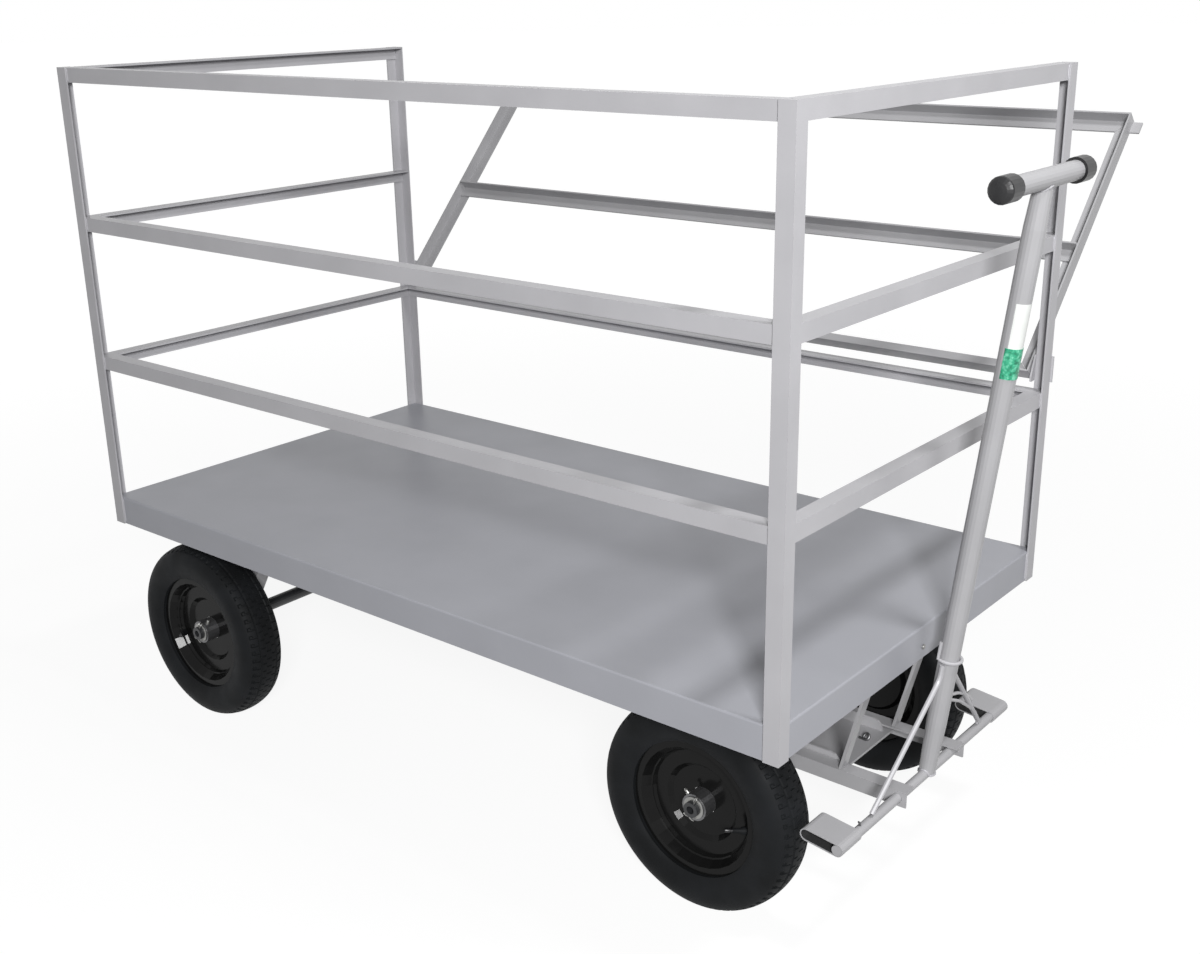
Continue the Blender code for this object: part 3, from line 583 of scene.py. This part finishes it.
def frame_details():
    """Beads where the rails meet the posts, and where the posts meet the deck's skirts."""
    soup = Soup()
    for seed, (side, level) in enumerate(RAILS, 1):
        low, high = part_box("rail_" + side + "_" + level)
        bottom = low.z + RAIL_BEAD_END
        top = high.z - RAIL_BEAD_END
        if side in ("near", "far"):
            y = low.y - PROUD if side == "near" else high.y + PROUD
            for x in (low.x + RAIL_BEAD_IN, high.x - RAIL_BEAD_IN):
                weld_bead(soup, (x, y, bottom), (x, y, top), RAIL_BEAD, seed)
        else:
            x = high.x + PROUD if side == "front" else low.x - PROUD
            for y in (low.y + RAIL_BEAD_IN, high.y - RAIL_BEAD_IN):
                weld_bead(soup, (x, y, bottom), (x, y, top), RAIL_BEAD, seed)
    for name, ahead, inward in POSTS:
        low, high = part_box(name)
        edge_x = low.x + POST_BEAD_IN if ahead > 0 else high.x - POST_BEAD_IN
        skirt_y = DECK_LOW.y if inward > 0 else DECK_HIGH.y
        weld_bead(soup, (edge_x, skirt_y, SKIRT_BASE), (edge_x, skirt_y, SKIRT_TOP),
                  POST_BEAD, POST_SIDE_SEED)
        edge_y = low.y + POST_BEAD_IN if inward > 0 else high.y - POST_BEAD_IN
        skirt_x = DECK_LOW.x if ahead > 0 else DECK_HIGH.x
        weld_bead(soup, (skirt_x, edge_y, SKIRT_BASE), (skirt_x, edge_y, SKIRT_TOP),
                  POST_BEAD, POST_END_SEED)
    soup.make("frame_welds", WELD, "chassis")


def leg_welds():
    """Beads over the rear axle, on both faces of each leg."""
    soup = Soup()
    axle = mid("rear_axle")
    for n, side in enumerate(("near", "far")):
        low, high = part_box("rear_leg_" + side)
        for face in (low.y - AXLE_BEAD_OFF, high.y + AXLE_BEAD_OFF):
            ring = [(axle.x + AXLE_BEAD_RADIUS * cos(a), face, axle.z + AXLE_BEAD_RADIUS * sin(a))
                    for a in sweep(start=15, stop=165, points=20)]
            soup.tube(ring, rippled(AXLE_BEAD, len(ring), ripple=2.9, phase=n), BEAD_SIDES)
    soup.make("rear_leg_welds", WELD, "chassis")


def front_details():
    """Screw in the deck's front edge and a bent wire eye on the saddle's base."""
    soup = Soup()
    soup.lathe(at(*SCREW_PLACE), (1.0, 0.0, 0.0), SCREW_PROFILE, steps=20)
    soup.make("deck_screw", ZINC, "chassis")
    middle = mid("turntable_lower")
    root = Vector((middle.x + EYE_PLACE[0], middle.y + EYE_PLACE[1],
                   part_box("axle_saddle")[0].z + EYE_SEAT))
    soup = Soup()
    eye = [root + Vector((EYE_WIDE * cos(a) + EYE_SHIFT, EYE_SKEW * sin(a),
                          EYE_LIFT + EYE_TALL * (1 + sin(a))))
           for a in sweep(start=-90, stop=215, points=18)]
    soup.tube([root + Vector((*EYE_TAIL, EYE_LIFT))] + eye, EYE_WIRE)
    soup.make("saddle_eye", STEEL, "front_steer")


# Drawbar. Places are from the crossbar's middle: y across the cart, z up along the tube, x to its front.
CROSS = mid("crossbar")
GRIP = mid("grip")
ALONG = (GRIP - CROSS).normalized()
FRONT = LEFT.cross(ALONG)
TUBE_END_RADIUS = 0.0127
BEAD_TURNS = 32
BEAD_OFF = 0.0006
FOOT_BEAD = 0.0016
FOOT_SEAT = 0.0083             # radius that the tube's foot is cut out to, round the crossbar
TOP_BEAD = 0.0014
TOP_SEAT = 0.0143              # and its top, round the grip
# Sheet of painted shade inside the brake shoes
SHOE_SHADE_HALF = 0.0081
SHOE_SHADE_START = -0.0065
SHOE_SHADE_BEND = -0.0509
SHOE_SHADE_SIDES = (0.2700, 0.2185)
SHOE_SHADE_THICK = 0.0002
SHOE_SHADE_SHARE = 0.97
BEND_STEPS = 10
LABEL_SPAN = (0.690, 0.753)
LABEL_TURNS = (radians(-84), radians(22))
LABEL_RADIUS = 0.01580
FILM_SPAN = (0.647, 0.6905)
FILM_TURNS = (radians(-96), radians(40))
FILM_RADIUS = 0.01600
FILM_CRINKLE = 0.0006
SHEET_THICK = 0.0002
SHEET_SEED = 4
SHEET_ACROSS = 28
SHEET_TALL = 20
ROD_WIRE = 0.0026
# Routes of the two thin rods between the tube and the far brace, as (y, z)
ROD_ROUTES = [[(0.0150, 0.128), (0.0350, 0.124), (0.0620, 0.1155), (0.0900, 0.1020),
               (0.1120, 0.0860), (0.1250, 0.0740)],
              [(0.0150, 0.120), (0.0350, 0.1150), (0.0760, 0.0945), (0.1200, 0.0650),
               (0.1500, 0.0420), (0.1680, 0.0220), (0.1700, 0.0105)]]
# The crossbar's small bent pin, as (y, z, x), and its radius at each point
PIN_ROUTE = [(-0.2050, 0.0060, -0.001), (-0.2062, 0.0125, -0.002), (-0.2085, 0.0150, -0.003)]
PIN_RADII = [0.0022, 0.0020, 0.0014]


def on_drawbar(y, z, x=0.0):
    return CROSS + FRONT * x + LEFT * y + ALONG * z


def saddle_bead(soup, centre, up, seat, radii):
    """Bead where the tube's end, cut out for a round bar, is welded to that bar."""
    path = []
    for k in range(BEAD_TURNS + 1):
        a = 2 * pi * k / BEAD_TURNS
        y = TUBE_END_RADIUS * cos(a)
        x = TUBE_END_RADIUS * sin(a)
        rise = sqrt(max(0.0, seat * seat - x * x)) if abs(x) < seat else 0.0
        path.append(centre + LEFT * y + FRONT * x + up * (rise + BEAD_OFF))
    soup.tube(path, radii, BEAD_SIDES)


def shoe_shade_sheets():
    """A dark sheet inside the brake shoes: painted shade where their insides lie in shade."""
    soup = Soup()
    half = SHOE_SHADE_HALF
    path = [(SHOE_SHADE_START, half), (SHOE_SHADE_BEND, half)]
    path += [(SHOE_SHADE_BEND - half * sin(pi * k / BEND_STEPS), half * cos(pi * k / BEND_STEPS))
             for k in range(1, BEND_STEPS)]
    path += [(SHOE_SHADE_BEND, -half), (SHOE_SHADE_START, -half)]
    inner = [(x + (SHOE_SHADE_THICK if abs(z) < half else 0.0), z * SHOE_SHADE_SHARE)
             for x, z in reversed(path)]
    loop = path + inner
    m = len(path)
    for sign in (-1, 1):
        soup.grid([[CROSS + FRONT * x + ALONG * z + LEFT * (sign * y) for x, z in loop]
                   for y in SHOE_SHADE_SIDES], caps=False)
        for start in (len(soup.v) - 2 * len(loop), len(soup.v) - len(loop)):
            for k in range(m - 1):
                soup.f.append((start + k, start + k + 1, start + 2 * m - 2 - k, start + 2 * m - 1 - k))
    soup.make("shoe_shade_sheets", SHOE_SHADE_PAINT, "drawbar")


def label_patch(name, span, turns, radius, mat, crinkle=0.0):
    """A thin sheet wrapped on the tube; its turns run from the tube's front towards the far side."""
    rng = np.random.default_rng(SHEET_SEED)
    start, stop = turns
    low, high = (CROSS + ALONG * z for z in span)
    outer = []
    inner = []
    for k in range(SHEET_TALL + 1):
        middle = low.lerp(high, k / SHEET_TALL)
        for i in range(SHEET_ACROSS + 1):
            a = start + (stop - start) * i / SHEET_ACROSS
            away = FRONT * cos(a) + LEFT * sin(a)
            outer.append(middle + away * (radius + crinkle * rng.random()))
            inner.append(middle + away * (radius - SHEET_THICK))
    n = SHEET_ACROSS + 1
    faces = []
    for k in range(SHEET_TALL):
        for i in range(SHEET_ACROSS):
            a = k * n + i
            faces.append((a, a + 1, a + n + 1, a + n))
            b = len(outer) + a
            faces.append((b, b + n, b + n + 1, b + 1))
    rim = (list(range(n))
           + [k * n + SHEET_ACROSS for k in range(1, SHEET_TALL + 1)]
           + [SHEET_TALL * n + i for i in range(SHEET_ACROSS - 1, -1, -1)]
           + [k * n for k in range(SHEET_TALL - 1, 0, -1)])
    for a, b in zip(rim, rim[1:] + rim[:1]):
        faces.append((b, a, len(outer) + a, len(outer) + b))
    piece(name, outer + inner, faces, mat, "drawbar", sharp=50.0)


def drawbar_details():
    """Welds at both ends of the tube, painted shade inside the shoes, blank label, film, link rods and pin.
    """
    soup = Soup()
    saddle_bead(soup, CROSS, ALONG, FOOT_SEAT, rippled(FOOT_BEAD, BEAD_TURNS + 1, ripple=3.1))
    saddle_bead(soup, GRIP, -ALONG, TOP_SEAT, rippled(TOP_BEAD, BEAD_TURNS + 1, ripple=2.7))
    soup.make("drawbar_welds", WELD, "drawbar")
    shoe_shade_sheets()
    label_patch("label_blank", LABEL_SPAN, LABEL_TURNS, LABEL_RADIUS, LABEL)
    label_patch("label_film", FILM_SPAN, FILM_TURNS, FILM_RADIUS, GREEN, FILM_CRINKLE)
    soup = Soup()
    for route in ROD_ROUTES:
        soup.tube([on_drawbar(y, z) for y, z in route], ROD_WIRE)
    soup.make("link_rods", GREY, "drawbar")
    soup = Soup()
    soup.tube([on_drawbar(y, z, x) for y, z, x in PIN_ROUTE], PIN_RADII)
    soup.make("crossbar_pin", STEEL, "drawbar")


# Floor and light
FLOOR_RADIUS = 40.0
FLOOR_STEPS = 64
FLOOR_DROP = 0.0008
FLOOR_GREY = 0.12
GLOW_FROM = 0.8                # metres from the cart's middle, and how much the floor shines there
GLOW_TO = 4.0
GLOW_NEAR = 0.90
GLOW_FAR = 1.0
WORLD_LIGHT = 0.07
WORLD_SEEN = 1.0
WHITE = (1.0, 1.0, 1.0, 1.0)


def lamp(name, target, azimuth, height, away, size, power):
    """Square lamp that stands away from its target at two angles in degrees, and looks at it."""
    a = radians(azimuth)
    e = radians(height)
    place = Vector(target) + Vector((cos(e) * cos(a), cos(e) * sin(a), sin(e))) * away
    data = bpy.data.lights.new(name, "AREA")
    data.shape = "RECTANGLE"
    data.size = size
    data.size_y = size
    data.energy = power
    obj = bpy.data.objects.new(name, data)
    obj.location = place
    obj.rotation_euler = (Vector(target) - place).to_track_quat("-Z", "Y").to_euler()
    bpy.context.collection.objects.link(obj)


def seen_directly(tree):
    """1 for what the camera, a reflection or glass looks at, 0 for the light that falls on things."""
    path = add_node(tree, "ShaderNodeLightPath")
    first = add_node(tree, "ShaderNodeMath", operation="MAXIMUM")
    tree.links.new(path.outputs["Is Camera Ray"], first.inputs[0])
    tree.links.new(path.outputs["Is Transmission Ray"], first.inputs[1])
    both = add_node(tree, "ShaderNodeMath", operation="MAXIMUM")
    tree.links.new(first.outputs["Value"], both.inputs[0])
    tree.links.new(path.outputs["Is Glossy Ray"], both.inputs[1])
    return both.outputs["Value"]


def floor_material():
    """Pale floor that takes the shadow and shines a little more where the lamps no longer reach it."""
    s = Shader("pale floor")
    s.set("Base Color", (FLOOR_GREY, FLOOR_GREY, FLOOR_GREY, 1.0))
    s.set("Roughness", 0.9)
    s.set("Specular IOR Level", 0.0)
    s.set("Emission Color", WHITE)
    place = s.add("ShaderNodeTexCoord")
    away = s.add("ShaderNodeVectorMath", operation="LENGTH")
    s.link(place.outputs["Object"], away.inputs[0])
    glow = s.add("ShaderNodeMapRange", From_Min=GLOW_FROM, From_Max=GLOW_TO,
                 To_Min=GLOW_NEAR, To_Max=GLOW_FAR)
    s.link(away.outputs["Value"], glow.inputs["Value"])
    lift = s.add("ShaderNodeMath", operation="MULTIPLY")
    s.link(seen_directly(s.tree), lift.inputs[0])
    s.link(glow.outputs["Result"], lift.inputs[1])
    s.feed("Emission Strength", lift.outputs["Value"])
    return s.mat


def studio():
    mesh = bpy.data.meshes.new("floor")
    turns = [2 * pi * k / FLOOR_STEPS for k in range(FLOOR_STEPS)]
    verts = [(FLOOR_RADIUS * cos(a), FLOOR_RADIUS * sin(a), -FLOOR_DROP) for a in turns]
    mesh.from_pydata(verts, [], [tuple(range(FLOOR_STEPS))])
    mesh.materials.append(floor_material())
    floor = bpy.data.objects.new("floor", mesh)
    bpy.context.collection.objects.link(floor)
    world = bpy.data.worlds.new("studio")
    bpy.context.scene.world = world
    world.use_nodes = True
    tree = world.node_tree
    back = tree.nodes["Background"]
    back.inputs["Color"].default_value = WHITE
    span = add_node(tree, "ShaderNodeMapRange", To_Min=WORLD_LIGHT, To_Max=WORLD_SEEN)
    tree.links.new(seen_directly(tree), span.inputs["Value"])
    tree.links.new(span.outputs["Result"], back.inputs["Strength"])
    lamp("key", (0.40, 0.0, 0.40), azimuth=-53.0, height=25.0, away=4.6, size=0.9, power=222.0)
    lamp("top", (1.10, -0.05, 0.43), azimuth=-20.0, height=77.0, away=2.5, size=0.35, power=29.0)


make_camera()
dress_nodes()
wheel_details()
frame_details()
leg_welds()
front_details()
drawbar_details()
studio()
bpy.context.scene.view_settings.view_transform = "Standard"
